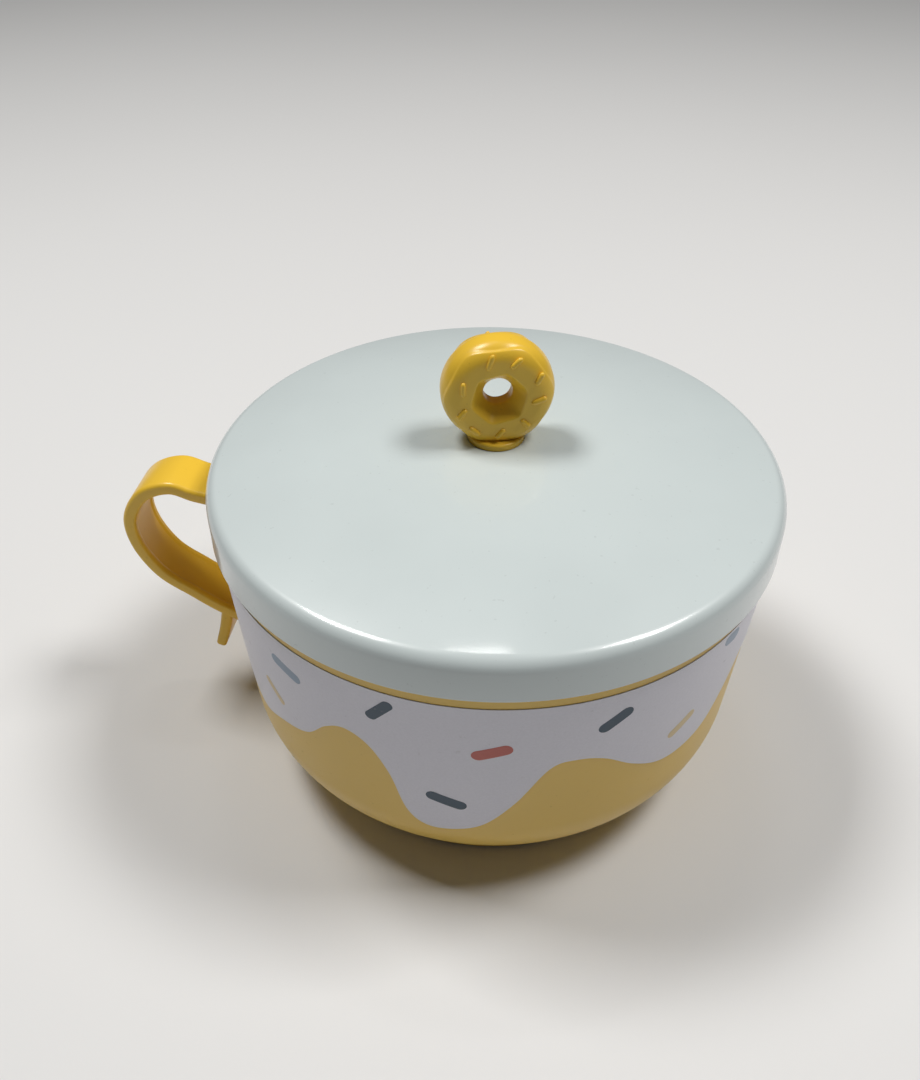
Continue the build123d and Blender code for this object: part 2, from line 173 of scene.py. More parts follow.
def mouldedPlastic(name, colour, roughness, scuffs=0.3, coat=0.0):
    recipe = Recipe(name, {"IOR": 1.49, "Coat Roughness": 0.09, "Coat IOR": 1.45})
    cloud = recipe.grain(38.0, 3.0)
    speck = recipe.between(recipe.grain(900.0, 1.0), 0.72, 0.80)
    scratch = hairlines(recipe, 1500.0, scuffs)
    shade = recipe.mixed(cloud, tone(colour, 0.955), tone(colour, 1.03))
    shade = recipe.mixed(speck * 0.35, shade, tone(colour, 0.72))
    shade = recipe.mixed(scratch * 0.12, shade, tone(colour, 1.12))
    finish = roughness + (cloud - 0.5) * 0.10 + scratch * 0.16 + speck * 0.1
    fine = recipe.relief(recipe.grain(2600.0, 2.0), 0.00002, 0.35)
    marks = recipe.relief(scratch, 0.00002, 0.5, fine)
    wave = recipe.relief(recipe.grain(70.0, 1.0), 0.0002, 0.12, marks)
    if coat:
        recipe.shader.inputs["Coat Weight"].default_value = coat
    return recipe.feed(colour=shade, roughness=finish, normal=wave)


def printedInk(name, colour, roughness):
    recipe = Recipe(name, {"IOR": 1.47})
    grainy = recipe.grain(1700.0, 2.0)
    wear = recipe.between(recipe.grain(420.0, 3.0), 0.70, 0.76)
    cloud = recipe.grain(30.0, 2.0)
    shade = recipe.mixed(grainy, tone(colour, 0.93), tone(colour, 1.06))
    shade = recipe.mixed(cloud * 0.35, shade, tone(colour, 0.90))
    shade = recipe.mixed(wear * 0.25, shade, tone(colours["wornInk"], 1))
    finish = roughness + (cloud - 0.5) * 0.12 + wear * 0.15
    return recipe.feed(colour=shade, roughness=finish,
                       normal=recipe.relief(grainy, 0.00002, 0.3))


def spunSteel(name, roughness):
    recipe = Recipe(name, {"Metallic": 1.0})
    split = recipe.make("ShaderNodeSeparateXYZ", {}, {0: recipe.place})
    across = Signal(recipe, split.outputs[0])
    along = Signal(recipe, split.outputs[1])
    height = Signal(recipe, split.outputs[2])
    distance = (across * across + along * along) ** 0.5
    ring = recipe.make("ShaderNodeCombineXYZ", {}, {0: distance * 2400, 1: height * 2400,
                                                    2: 0.3})
    lines = recipe.grain(1.0, 3.0, ring.outputs[0], 0.7)
    smudge = recipe.grain(60.0, 3.0)
    shade = recipe.mixed(lines, tone(colours["dullSteel"], 1), tone(colours["brightSteel"], 1))
    finish = roughness + (lines - 0.5) * 0.22 + (smudge - 0.5) * 0.12
    return recipe.feed(colour=shade, roughness=finish,
                       normal=recipe.relief(lines, 0.00003, 0.35))


def softSilicone(name, colour):
    recipe = Recipe(name, {"IOR": 1.43, "Sheen Weight": 0.15})
    cloud = recipe.grain(45.0, 3.0)
    dust = recipe.between(recipe.grain(700.0, 2.0), 0.66, 0.74)
    shade = recipe.mixed(cloud, tone(colour, 0.94), tone(colour, 1.04))
    shade = recipe.mixed(dust * 0.3, shade, tone(colour, 0.7))
    finish = 0.48 + (cloud - 0.5) * 0.14 + dust * 0.2
    return recipe.feed(colour=shade, roughness=finish,
                       normal=recipe.relief(recipe.grain(2200.0, 2.0), 0.00003, 0.4))


def paleFloor(name):
    recipe = Recipe(name, {"IOR": 1.4})
    cloud = recipe.grain(3.0, 2.0)
    shade = recipe.mixed(cloud, tone(colours["floor"], 1), tone(colours["paleFloor"], 1))
    return recipe.feed(colour=shade, roughness=0.75 + (cloud - 0.5) * 0.1,
                       normal=recipe.relief(recipe.grain(500.0, 2.0), 0.00005, 0.1))


yellowPlastic = mouldedPlastic("yellowPlastic", colours["body"], 0.34, 0.28)
yellowKnob = mouldedPlastic("yellowKnob", colours["knob"], 0.30, 0.30)
mintPlastic = mouldedPlastic("mintPlastic", colours["mint"], 0.30, 0.30, 0.6)
whitePlastic = mouldedPlastic("whitePlastic", colours["white"], 0.42, 0.25)
icingFilm = printedInk("icingFilm", colours["film"], 0.36)
inks = {name: printedInk(name + "Ink", colour, 0.33) for name, colour in inkColours.items()}
linerSteel = spunSteel("linerSteel", 0.27)
screwSteel = spunSteel("screwSteel", 0.33)
clearSilicone = softSilicone("clearSilicone", colours["silicone"])
print("finishes made")


# a smooth-shaded object, tied to its body; the CAD nodes it replaces are hidden
def meshPiece(name, mesh, material, body, slotName, *nodes):
    if not isinstance(mesh, bpy.types.Mesh):
        made = bpy.data.meshes.new(name)
        mesh.to_mesh(made)
        mesh.free()
        mesh = made
    mesh.name = name
    mesh.materials.clear()
    mesh.materials.append(material)
    mesh.polygons.foreach_set("use_smooth", [True] * len(mesh.polygons))
    mesh.set_sharp_from_angle(angle=math.radians(38))
    piece = bpy.data.objects.new(name, mesh)
    bpy.context.scene.collection.objects.link(piece)
    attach(piece, body)
    if nodes:
        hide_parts(*nodes)
    return piece


# corners of an outline given as (radius, height, rounding), in millimetres
def softened(corners, closed=True, steps=5):
    made = []
    count = len(corners)
    for number, (x, z, rounding) in enumerate(corners):
        if rounding <= 0 or (not closed and number in (0, count - 1)):
            made.append((x, z))
            continue
        here = Vector((x, z))
        before = Vector(corners[number - 1][:2]) - here
        after = Vector(corners[(number + 1) % count][:2]) - here
        angle = before.angle(after)
        reach = rounding / math.tan(angle / 2)
        reach = min(reach, before.length * 0.49, after.length * 0.49)
        start = here + before.normalized() * reach
        end = here + after.normalized() * reach
        radius = reach * math.tan(angle / 2)
        centre = here + (before.normalized() + after.normalized()).normalized() * (
            radius / math.sin(angle / 2))
        first, last = start - centre, end - centre
        swing = first.angle_signed(last)
        for step in range(steps + 1):
            turned = Matrix.Rotation(-swing * step / steps, 2) @ first
            made.append(tuple(centre + turned))
    return made


# a closed outline turned about the bowl's axis; corners on the axis become poles
def lathe(outline, steps=256, centre=(0, 0)):
    bm = bmesh.new()
    rings = []
    for radius, height in outline:
        if radius < 1e-6:
            rings.append([bm.verts.new((centre[0] * mm, centre[1] * mm, height * mm))])
            continue
        rings.append([bm.verts.new((
            (centre[0] + radius * math.cos(2 * math.pi * step / steps)) * mm,
            (centre[1] + radius * math.sin(2 * math.pi * step / steps)) * mm,
            height * mm)) for step in range(steps)])
    for number, ring in enumerate(rings):
        following = rings[(number + 1) % len(rings)]
        if len(ring) == 1 and len(following) == 1:
            continue
        for step in range(steps):
            after = (step + 1) % steps
            if len(ring) == 1:
                bm.faces.new((ring[0], following[after], following[step]))
            elif len(following) == 1:
                bm.faces.new((ring[step], ring[after], following[0]))
            else:
                bm.faces.new((ring[step], ring[after], following[after], following[step]))
    bmesh.ops.recalc_face_normals(bm, faces=bm.faces)
    return bm


def joinMeshes(first, *others):
    for other in others:
        mesh = bpy.data.meshes.new("part")
        other.to_mesh(mesh)
        other.free()
        first.from_mesh(mesh)
        bpy.data.meshes.remove(mesh)
    return first


# smooth curve through points, as a list of (x, y)
def throughPoints(points, stepsEach, startSlope=None, endSlope=None):
    slopes = []
    for number, point in enumerate(points):
        before = Vector(points[max(number - 1, 0)])
        after = Vector(points[min(number + 1, len(points) - 1)])
        slopes.append((after - before) / 2)
    if startSlope:
        slopes[0] = Vector(startSlope)
    if endSlope:
        slopes[-1] = Vector(endSlope)
    made = []
    for number in range(len(points) - 1):
        a, b = Vector(points[number]), Vector(points[number + 1])
        for step in range(stepsEach):
            t = step / stepsEach
            made.append(tuple(
                a * (2 * t ** 3 - 3 * t ** 2 + 1) + slopes[number] * (t ** 3 - 2 * t ** 2 + t)
                + b * (3 * t ** 2 - 2 * t ** 3) + slopes[number + 1] * (t ** 3 - t ** 2)))
    made.append(tuple(points[-1]))
    return made


# a Geometry Nodes tree with its named inputs
def newTree(name, inputs):
    tree = bpy.data.node_groups.new(name, "GeometryNodeTree")
    tree.interface.new_socket("Geometry", in_out="INPUT", socket_type="NodeSocketGeometry")
    for label, kind in inputs:
        tree.interface.new_socket(label, in_out="INPUT", socket_type=kind)
    tree.interface.new_socket("Geometry", in_out="OUTPUT", socket_type="NodeSocketGeometry")
    start = tree.nodes.new("NodeGroupInput")
    end = tree.nodes.new("NodeGroupOutput")
    return tree, start, end


def addNode(tree, kind, settings=None, links=None):
    node = tree.nodes.new(kind)
    for name, value in (settings or {}).items():
        setattr(node, name, value)
    for name, value in (links or {}).items():
        if isinstance(value, bpy.types.NodeSocket):
            tree.links.new(value, node.inputs[name])
        else:
            node.inputs[name].default_value = value
    return node


def grown(source, tree, values):
    modifier = source.modifiers.new(tree.name, "NODES")
    modifier.node_group = tree
    for item in tree.interface.items_tree:
        if item.in_out == "INPUT" and item.name in values:
            modifier[item.identifier] = values[item.name]
    bpy.context.view_layer.update()
    evaluated = source.evaluated_get(bpy.context.evaluated_depsgraph_get())
    mesh = bpy.data.meshes.new_from_object(evaluated)
    bpy.data.objects.remove(source)
    return mesh


# from here on every size is in millimetres and every angle in degrees
shellLow, shellHigh = nodeBox("outer_shell")
body = {
    "stepRadius": 68.6, "stepHeight": 74.2, "rimRadius": 67.9, "rimInner": 64.6,
    "rimHeight": shellHigh.z, "ledgeDepth": 4.6, "ledgeSlope": 2.0,
    "draft": math.tan(math.radians(4.07)), "wall": 2.0, "bellyRound": 24.2, "bellyBottom": 3.6,
    "seat": shellLow.z, "floor": nodeBox("cup_retainer")[0].z, "stemHole": 4.4,
    "bossRadius": 2.6, "bossHeight": 0.9, "bossDepth": 1.6, "bossHole": 1.05,
    "screwHeights": (69.8, 28.4), "bellySteps": 28,
}


def wallRadius(height):
    return body["stepRadius"] - (body["stepHeight"] - height) * body["draft"]


# the rounding under the wall, from a height up to the wall, or back down it
def bellyArc(bend, low, rising):
    slant = math.atan(body["draft"])
    centreHeight = body["bellyBottom"] + body["bellyRound"]
    centreRadius = wallRadius(centreHeight) - body["bellyRound"] / math.cos(slant)
    lowest = -math.asin((centreHeight - low) / bend)
    arc = []
    for step in range(body["bellySteps"] + 1):
        angle = lowest + (-slant - lowest) * step / body["bellySteps"]
        arc.append((centreRadius + bend * math.cos(angle),
                    centreHeight + bend * math.sin(angle)))
    return arc if rising else arc[::-1]


def bodyShell():
    thick = body["wall"] / math.cos(math.atan(body["draft"]))
    outer = bellyArc(body["bellyRound"], body["seat"], True)
    inner = bellyArc(body["bellyRound"] - body["wall"], body["floor"], False)
    ledge = body["rimHeight"] - body["ledgeDepth"]
    slopeEnd = ledge - body["ledgeSlope"]
    rim = softened([
        (wallRadius(60), 60, 0), (body["stepRadius"], body["stepHeight"], 0.3),
        (body["rimRadius"], body["stepHeight"], 0.15),
        (body["rimRadius"], body["rimHeight"], 0.4), (body["rimInner"], body["rimHeight"], 0.4),
        (body["rimInner"], ledge, 0.6), (wallRadius(slopeEnd) - thick, slopeEnd, 0.8),
        (wallRadius(50) - thick, 50, 0)], closed=False)
    outline = [(body["stemHole"], body["seat"])] + outer + rim + inner
    outline.append((body["stemHole"], body["floor"]))
    shell = lathe(outline)
    bosses = []
    for height in body["screwHeights"]:
        face = wallRadius(height) - body["wall"] - body["bossHeight"]
        boss = lathe(softened([
            (body["bossHole"], 0, 0), (body["bossRadius"], 0, 0.2),
            (body["bossRadius"], body["bossDepth"], 0),
            (body["bossHole"], body["bossDepth"], 0)]), 32)
        lying = Matrix.Translation((-face * mm, 0, height * mm)) @ Matrix.Rotation(
            math.radians(-90), 4, "Y")
        bmesh.ops.transform(boss, matrix=lying, verts=boss.verts)
        bosses.append(boss)
    return joinMeshes(shell, *bosses)


meshPiece("bodyShell", bodyShell(), yellowPlastic, "bowl", "yellow_plastic", "outer_shell")

bellyEdge = bellyArc(body["bellyRound"], body["seat"], True)[0][0]
footLow, footHigh = nodeBox("base_ring")
foot = {
    "outer": bellyEdge - 0.1, "thickness": 2.6, "lift": footLow.z, "round": 0.8,
    "tongueTop": footHigh.z, "tongueFrom": 0.8, "tongueTo": 1.8,
}
footInner = foot["outer"] - foot["thickness"]
tongueInner = footInner + foot["tongueFrom"]
tongueOuter = footInner + foot["tongueTo"]
meshPiece("footRing", lathe(softened([
    (footInner, foot["lift"], foot["round"]), (foot["outer"], foot["lift"], foot["round"]),
    (foot["outer"], body["seat"], 0.15), (tongueOuter, body["seat"], 0),
    (tongueOuter, foot["tongueTop"], 0.2), (tongueInner, foot["tongueTop"], 0.2),
    (tongueInner, body["seat"], 0), (footInner, body["seat"], 0.15)])),
    yellowPlastic, "bowl", "yellow_plastic", "base_ring")
print("body made")


lidLow, lidHigh = nodeBox("lid_shell")
icing = {
    "film": 0.2, "top": nodeBox("icing_label")[1].z, "unit": lidLow.z, "reference": 67.0,
    "rows": 14, "smoothing": 12, "inkThickness": 0.03, "inkLift": 0.005,
    # degrees round the bowl, height as a share of the unit
    "edge": [
        (196, 1.05), (203, 0.80), (208, 0.54), (217, 0.455), (227, 0.51),
        (236, 0.57), (242, 0.67), (247, 0.714), (252, 0.68), (256, 0.57), (259, 0.41),
        (263, 0.345), (269, 0.345), (275, 0.385), (281, 0.50), (287, 0.66), (292, 0.684),
        (298, 0.655), (305, 0.57), (312, 0.51), (319, 0.50), (326, 0.53), (332, 0.62),
        (338, 0.72), (345, 0.70), (353, 0.52), (361, 0.42), (370, 0.44), (379, 0.62),
        (387, 0.69), (395, 0.60), (404, 0.40), (413, 0.37), (422, 0.44), (431, 0.63),
        (439, 0.71), (448, 0.64), (458, 0.49), (468, 0.45), (478, 0.53), (487, 0.68),
        (495, 0.66), (503, 0.50), (509, 0.52), (516, 0.80), (523, 1.05),
    ],
}


def icingBand():
    bm = bmesh.new()
    rows = icing["rows"]
    columns = []
    smooth = throughPoints([(turn, share * icing["unit"]) for turn, share in icing["edge"]],
                           icing["smoothing"])
    for turn, low in smooth:
        low = min(low, icing["top"])
        columns.append([])
        for row in range(rows + 1):
            height = low + (icing["top"] - low) * row / rows
            radius = wallRadius(height) + icing["film"]
            angle = math.radians(turn)
            columns[-1].append(bm.verts.new((radius * math.cos(angle) * mm,
                                             radius * math.sin(angle) * mm, height * mm)))
    for left, right in zip(columns, columns[1:]):
        for row in range(rows):
            bm.faces.new((left[row], right[row], right[row + 1], left[row + 1]))
    bmesh.ops.remove_doubles(bm, verts=bm.verts, dist=1e-6)
    bmesh.ops.dissolve_degenerate(bm, dist=1e-6, edges=bm.edges)
    loose = [vert for vert in bm.verts if not vert.link_faces]
    bmesh.ops.delete(bm, geom=loose, context="VERTS")
    bmesh.ops.solidify(bm, geom=bm.faces[:] + bm.edges[:] + bm.verts[:],
                       thickness=icing["film"] * mm * 0.9)
    bmesh.ops.recalc_face_normals(bm, faces=bm.faces)
    return bm


meshPiece("icingPrint", icingBand(), icingFilm, "bowl", "printed_film", "icing_label")


# flat pill shapes laid out as arc length and height; the tree wraps them on the wall
def wrapTree():
    tree, start, end = newTree("wrapOnWall", [
        ("Step Radius", "NodeSocketFloat"), ("Step Height", "NodeSocketFloat"),
        ("Draft", "NodeSocketFloat"), ("Reference", "NodeSocketFloat"),
        ("Lift", "NodeSocketFloat"), ("Finish", "NodeSocketMaterial")])
    place = addNode(tree, "GeometryNodeInputPosition").outputs[0]
    split = addNode(tree, "ShaderNodeSeparateXYZ", links={0: place}).outputs

    def maths(operation, first, second=0.0):
        return addNode(tree, "ShaderNodeMath", {"operation": operation},
                       {0: first, 1: second}).outputs[0]

    below = maths("SUBTRACT", start.outputs["Step Height"], split[1])
    slope = maths("MULTIPLY", below, start.outputs["Draft"])
    radius = maths("SUBTRACT", start.outputs["Step Radius"], slope)
    radius = maths("ADD", maths("ADD", radius, start.outputs["Lift"]), split[2])
    angle = maths("DIVIDE", split[0], start.outputs["Reference"])
    across = maths("MULTIPLY", radius, maths("COSINE", angle))
    along = maths("MULTIPLY", radius, maths("SINE", angle))
    joined = addNode(tree, "ShaderNodeCombineXYZ", links={0: across, 1: along, 2: split[1]})
    moved = addNode(tree, "GeometryNodeSetPosition", links={
        "Geometry": start.outputs["Geometry"], "Position": joined.outputs[0]})
    whole = addNode(tree, "GeometryNodeRealizeInstances", links={0: moved.outputs[0]})
    painted = addNode(tree, "GeometryNodeSetMaterial", links={
        "Geometry": whole.outputs[0], "Material": start.outputs["Finish"]})
    tree.links.new(painted.outputs[0], end.inputs[0])
    return tree


# turn and height of both ends, then width
printed = {
    "teal": [(253.6, 62.3, 257.0, 67.2, 2.7), (264.7, 38.1, 270.1, 35.7, 3.2),
             (296.8, 60.6, 300.6, 63.8, 3.3), (371, 60, 377, 65, 3.2), (410, 45, 415, 40, 3.2),
             (462, 62, 468, 58, 3.2)],
    "red": [(273.6, 55.3, 278.4, 57.4, 3.3), (352, 62, 356, 67, 3.2), (425, 61, 431, 64, 3.2),
            (490, 66, 496, 63, 3.2)],
    "blue": [(230.5, 63.0, 236.0, 61.6, 3.1), (326.0, 68.5, 328.0, 68.2, 3.6),
             (362, 47, 365, 40, 3.2), (443, 66, 449, 64, 3.2), (506, 60, 509, 66, 3.2)],
    "straw": [(224.6, 50.4, 228.6, 46.6, 2.2), (314.2, 46.6, 318.7, 49.5, 2.8),
              (388, 64, 394, 67, 3.2), (404, 58, 400, 64, 2.5), (474, 47, 469, 41, 3.2)],
}


# a flat bar with round ends, as rows of quads
def pill(bm, ends, width):
    (x0, z0), (x1, z1) = ends
    along = Vector((x1 - x0, z1 - z0))
    side = Vector((-along.y, along.x)).normalized()
    columns = []
    steps, cap = 12, 7
    half = width / 2
    stations = [(-half * math.cos(math.pi / 2 * n / cap), math.sin(math.pi / 2 * n / cap))
                for n in range(cap)]
    stations += [(along.length * n / steps, 1.0) for n in range(steps + 1)]
    stations += [(along.length + half * math.sin(math.pi / 2 * (n + 1) / cap),
                  math.cos(math.pi / 2 * (n + 1) / cap)) for n in range(cap)]
    direction = along.normalized()
    for distance, share in stations:
        column = []
        for row in (-1, -0.5, 0, 0.5, 1):
            point = Vector((x0, z0)) + direction * distance + side * (half * share * row)
            column.append(bm.verts.new((point.x * mm, point.y * mm, 0)))
        columns.append(column)
    for left, right in zip(columns, columns[1:]):
        for row in range(4):
            bm.faces.new((left[row], right[row], right[row + 1], left[row + 1]))


def printedPills(name, rows):
    bm = bmesh.new()
    perDegree = math.radians(1) * icing["reference"]
    for turnA, heightA, turnB, heightB, width in rows:
        pill(bm, ((turnA * perDegree, heightA), (turnB * perDegree, heightB)), width)
    bmesh.ops.remove_doubles(bm, verts=bm.verts, dist=1e-7)
    bmesh.ops.dissolve_degenerate(bm, dist=1e-7, edges=bm.edges)
    bmesh.ops.solidify(bm, geom=bm.faces[:] + bm.edges[:] + bm.verts[:],
                       thickness=-icing["inkThickness"] * mm)
    bmesh.ops.recalc_face_normals(bm, faces=bm.faces)
    flat = bpy.data.meshes.new(name)
    bm.to_mesh(flat)
    bm.free()
    source = bpy.data.objects.new(name + "Flat", flat)
    bpy.context.scene.collection.objects.link(source)
    return grown(source, wallWrap, {
        "Step Radius": body["stepRadius"] * mm, "Step Height": body["stepHeight"] * mm,
        "Draft": body["draft"], "Reference": icing["reference"] * mm,
        "Lift": (icing["film"] + icing["inkLift"]) * mm, "Finish": inks[name]})


wallWrap = wrapTree()
for inkName, rows in printed.items():
    meshPiece(inkName + "Sprinkles", printedPills(inkName, rows), inks[inkName], "bowl",
              "printed_film")
print("icing printed")


handle = {
    "width": 14.0, "thickness": 3.5, "round": 1.1, "recess": 0.32, "border": 1.5,
    "slope": 0.7, "crown": 0.05, "reach": 27.35, "top": body["screwHeights"][0],
    "bottom": body["screwHeights"][1], "rootDepth": 1.2, "rootPull": 8, "spacing": 0.9,
    "spur": 14.5, "spurLean": 0.22, "spurTip": 1.3,
    # centre line: share of the reach outwards, share of the way up between the roots
    "line": [(0.27, 1.03), (0.52, 1.075), (0.80, 1.0), (0.98, 0.81), (0.965, 0.59),
             (0.80, 0.37), (0.54, 0.225), (0.27, 0.09)],
}


def handlePoint(share):
    reach, rise = share
    low = wallRadius(handle["bottom"])
    root = low + (body["stepRadius"] - low) * rise
    height = handle["bottom"] + (handle["top"] - handle["bottom"]) * rise
    return root + (body["stepRadius"] + handle["reach"] - root) * reach, height


def bandSection(width, thickness, rounding, recess, border):
    half, deep = width / 2, thickness / 2
    inside = half - border - handle["slope"]
    corners = [(-half, -deep, rounding), (half, -deep, rounding), (half, deep, rounding),
               (half - border, deep, 0.35), (inside, deep - recess, 0.5),
               (0, deep - recess - handle["crown"], 0), (-inside, deep - recess, 0.5),
               (-half + border, deep, 0.35), (-half, deep, rounding)]
    return softened(corners, steps=4)


def sweepTree():
    tree, start, end = newTree("bandOnPath", [
        ("Section", "NodeSocketObject"), ("Spacing", "NodeSocketFloat"),
        ("Finish", "NodeSocketMaterial")])
    spaced = addNode(tree, "GeometryNodeResampleCurve", {"mode": "LENGTH"}, {
        "Curve": start.outputs["Geometry"], "Length": start.outputs["Spacing"]})
    section = addNode(tree, "GeometryNodeObjectInfo", links={
        "Object": start.outputs["Section"]})
    swept = addNode(tree, "GeometryNodeCurveToMesh", links={
        "Curve": spaced.outputs[0], "Profile Curve": section.outputs["Geometry"],
        "Fill Caps": True})
    whole = addNode(tree, "GeometryNodeRealizeInstances", links={0: swept.outputs[0]})
    painted = addNode(tree, "GeometryNodeSetMaterial", links={
        "Geometry": whole.outputs[0], "Material": start.outputs["Finish"]})
    tree.links.new(painted.outputs[0], end.inputs[0])
    return tree


def curveObject(name, points, closed):
    curve = bpy.data.curves.new(name, "CURVE")
    curve.dimensions = "3D"
    spline = curve.splines.new("POLY")
    spline.points.add(len(points) - 1)
    for target, point in zip(spline.points, points):
        target.co = (*[value * mm for value in point], 1.0)
    spline.use_cyclic_u = closed
    made = bpy.data.objects.new(name, curve)
    bpy.context.scene.collection.objects.link(made)
    return made


def handleBand():
    points = [(wallRadius(handle["top"]) - handle["rootDepth"], handle["top"])]
    points += [handlePoint(share) for share in handle["line"]]
    points += [(wallRadius(handle["bottom"]) - handle["rootDepth"], handle["bottom"])]
    pull = handle["rootPull"]
    smooth = throughPoints(points, 10, (pull, 0), (-pull, 0))
    path = curveObject("handlePath", [(-x, 0, z) for x, z in smooth], False)
    outline = bandSection(handle["width"], handle["thickness"], handle["round"],
                          handle["recess"], handle["border"])
    section = curveObject("handleSection", [(x, y, 0) for x, y in outline], True)
    mesh = grown(path, sweepTree(), {
        "Section": section, "Spacing": handle["spacing"] * mm, "Finish": yellowKnob})
    bpy.data.objects.remove(section)
    return mesh


def loftRings(rings, close=True):
    bm = bmesh.new()
    rows = [[bm.verts.new([value * mm for value in point]) for point in ring] for ring in rings]
    for low, high in zip(rows, rows[1:]):
        for number in range(len(low)):
            after = (number + 1) % len(low)
            bm.faces.new((low[number], low[after], high[after], high[number]))
    if close:
        for ring in (rows[0], rows[-1]):
            bm.faces.new(ring)
    bmesh.ops.recalc_face_normals(bm, faces=bm.faces)
    return bm


def spurMesh():
    rootX, rootZ = handlePoint(handle["line"][-1])
    length = handle["spur"]
    path = throughPoints([
        (rootX - 1.0, rootZ + 0.6), (rootX + length * 0.1 - 0.6, rootZ - length * 0.5),
        (rootX + length * handle["spurLean"], rootZ - length)], 16)
    rings = []
    for number, (x, z) in enumerate(path):
        share = number / (len(path) - 1)
        before, after = path[max(number - 1, 0)], path[min(number + 1, len(path) - 1)]
        along = Vector((after[0] - before[0], after[1] - before[1])).normalized()
        thickness = handle["thickness"] * (1 - 0.12 * share - 0.08 * share ** 2)
        toTip = (1 - share) * length
        tuck = math.sqrt(max(0.0, 1 - (1 - min(toTip / handle["spurTip"], 1)) ** 2))
        thick = max(thickness * (0.25 + 0.75 * tuck), 0.3)
        side, face = (handle["width"] - handle["thickness"] + thick) / 2, thick / 2
        corners = [(-side, -face), (side, -face), (side, face), (-side, face)]
        section = softened([(*corner, thick * 0.3) for corner in corners], steps=4)
        rings.append([(-(x + along.y * deep), across, z - along.x * deep)
                      for across, deep in section])
    return loftRings(rings)


handleMesh = handleBand()
bandMesh = bmesh.new()
bandMesh.from_mesh(handleMesh)
bmesh.ops.recalc_face_normals(bandMesh, faces=bandMesh.faces)
meshPiece("cupHandle", joinMeshes(bandMesh, spurMesh()), yellowKnob, "bowl",
          "yellow_plastic", "handle_loop")
print("handle swept")


knobSeat = nodeBox("knob_seal")[0].z
knobSink = 0.2  # the dome's peak above the flat that the knob stands on
lid = {
    "radius": lidHigh.y, "edge": lidLow.z, "shoulder": 85.3, "top": knobSeat + knobSink,
    "wall": 2.0, "skirt": 1.7, "shoulderRound": 3.5, "land": 60.0, "ribOuter": 63.2, "rib": 1.3,
    "ribDepth": 2.3, "pocket": 4.9, "pocketWall": 1.4, "pocketDepth": 3.0, "discRadius": 7.1,
    "screwHole": 1.7,
    "domeFrom": 52, "domeTo": 55, "capFit": 0.05,
}


def domeHeight(radius):
    rise = lid["top"] - lid["shoulder"]
    sphere = (lid["radius"] ** 2 + rise ** 2) / (2 * rise)
    return lid["top"] - sphere + math.sqrt(sphere ** 2 - radius ** 2)


def domeLine(first, last, drop, steps=24):
    return [(first + (last - first) * step / steps,
             domeHeight(first + (last - first) * step / steps) - drop)
            for step in range(steps + 1)]


def lidDome():
    roof = knobSeat - lid["wall"]
    ceiling = lid["shoulder"] - lid["wall"]
    inner = lid["radius"] - lid["skirt"]
    ribInner = lid["ribOuter"] - lid["rib"]
    shoulder = softened([
        (lid["domeTo"], domeHeight(lid["domeTo"]), 0),
        (lid["radius"], lid["shoulder"], lid["shoulderRound"]),
        (lid["radius"], lid["edge"], 0.4), (inner, lid["edge"], 0.3),
        (inner, ceiling, 1.0), (lid["ribOuter"], ceiling, 0.3),
        (lid["ribOuter"], ceiling - lid["ribDepth"], 0.3),
        (ribInner, ceiling - lid["ribDepth"], 0.3), (ribInner, ceiling, 0.4),
        (lid["land"] + 0.3, ceiling, 0.2)], closed=False, steps=10)
    pocketOuter = lid["pocket"] + lid["pocketWall"]
    pocketTop = domeHeight(6) - lid["wall"]
    pocketLow = roof - lid["pocketDepth"]
    outline = [(lid["screwHole"], knobSeat), (lid["discRadius"], knobSeat)]
    outline += domeLine(lid["discRadius"], lid["domeFrom"], 0) + shoulder
    outline += domeLine(lid["land"], pocketOuter + 0.3, lid["wall"])
    outline += softened([
        (pocketOuter + 0.3, pocketTop, 0), (pocketOuter, pocketTop - 0.2, 0),
        (pocketOuter, pocketLow, 0.2), (lid["pocket"], pocketLow, 0.2),
        (lid["pocket"], roof, 0), (lid["screwHole"], roof, 0)], closed=False)
    return lathe(outline, 320)


meshPiece("lidDome", lidDome(), mintPlastic, "lid", "mint_plastic", "lid_shell")
capLow, capHigh = nodeBox("screw_cap")
capRadius = lid["pocket"] - lid["capFit"]
meshPiece("pocketCap", lathe(softened([
    (0, capLow.z, 0), (capRadius, capLow.z, 0.2),
    (capRadius, capHigh.z, 0.1), (0, capHigh.z, 0)]), 96),
    mintPlastic, "lid", "mint_plastic", "screw_cap")
print("lid made")


knob = {
    "radius": 13.34, "ring": 9.95, "depth": 10.0, "round": 4.2, "turn": -78.0,
    "discRadius": 6.9, "discThickness": 1.7, "sink": 1.6, "relief": 0.5,
    "icingFlat": 11.9, "icingHardness": 9, "icingTurn": 5, "edgeMargin": 0.3,
    "mouthFlat": 6.06, "mouthHardness": 13, "mouthTurn": 15, "mouthDepth": 3.8,
    "sprinkleRadius": 0.62, "sprinkleStand": 0.05,
    "recess": 5.25, "washerRadius": nodeBox("knob_seal")[1].x,
    "washerThickness": nodeBox("knob_seal")[1].z - knobSeat, "screwHole": 1.55,
    # right, up, turn in degrees, length
    "sprinkles": [(-2.3, 9.7, 72, 2.8), (3.6, 9.3, 44, 2.3), (9.0, 5.1, 63, 2.3),
                  (9.2, -0.6, 21, 2.5), (6.2, -6.6, -43, 1.6), (0.4, -9.2, 48, 1.8),
                  (-5.6, -8.3, -43, 2.1), (-8.6, -3.6, 54, 2.0), (-8.4, 3.0, 88, 2.4)],
}


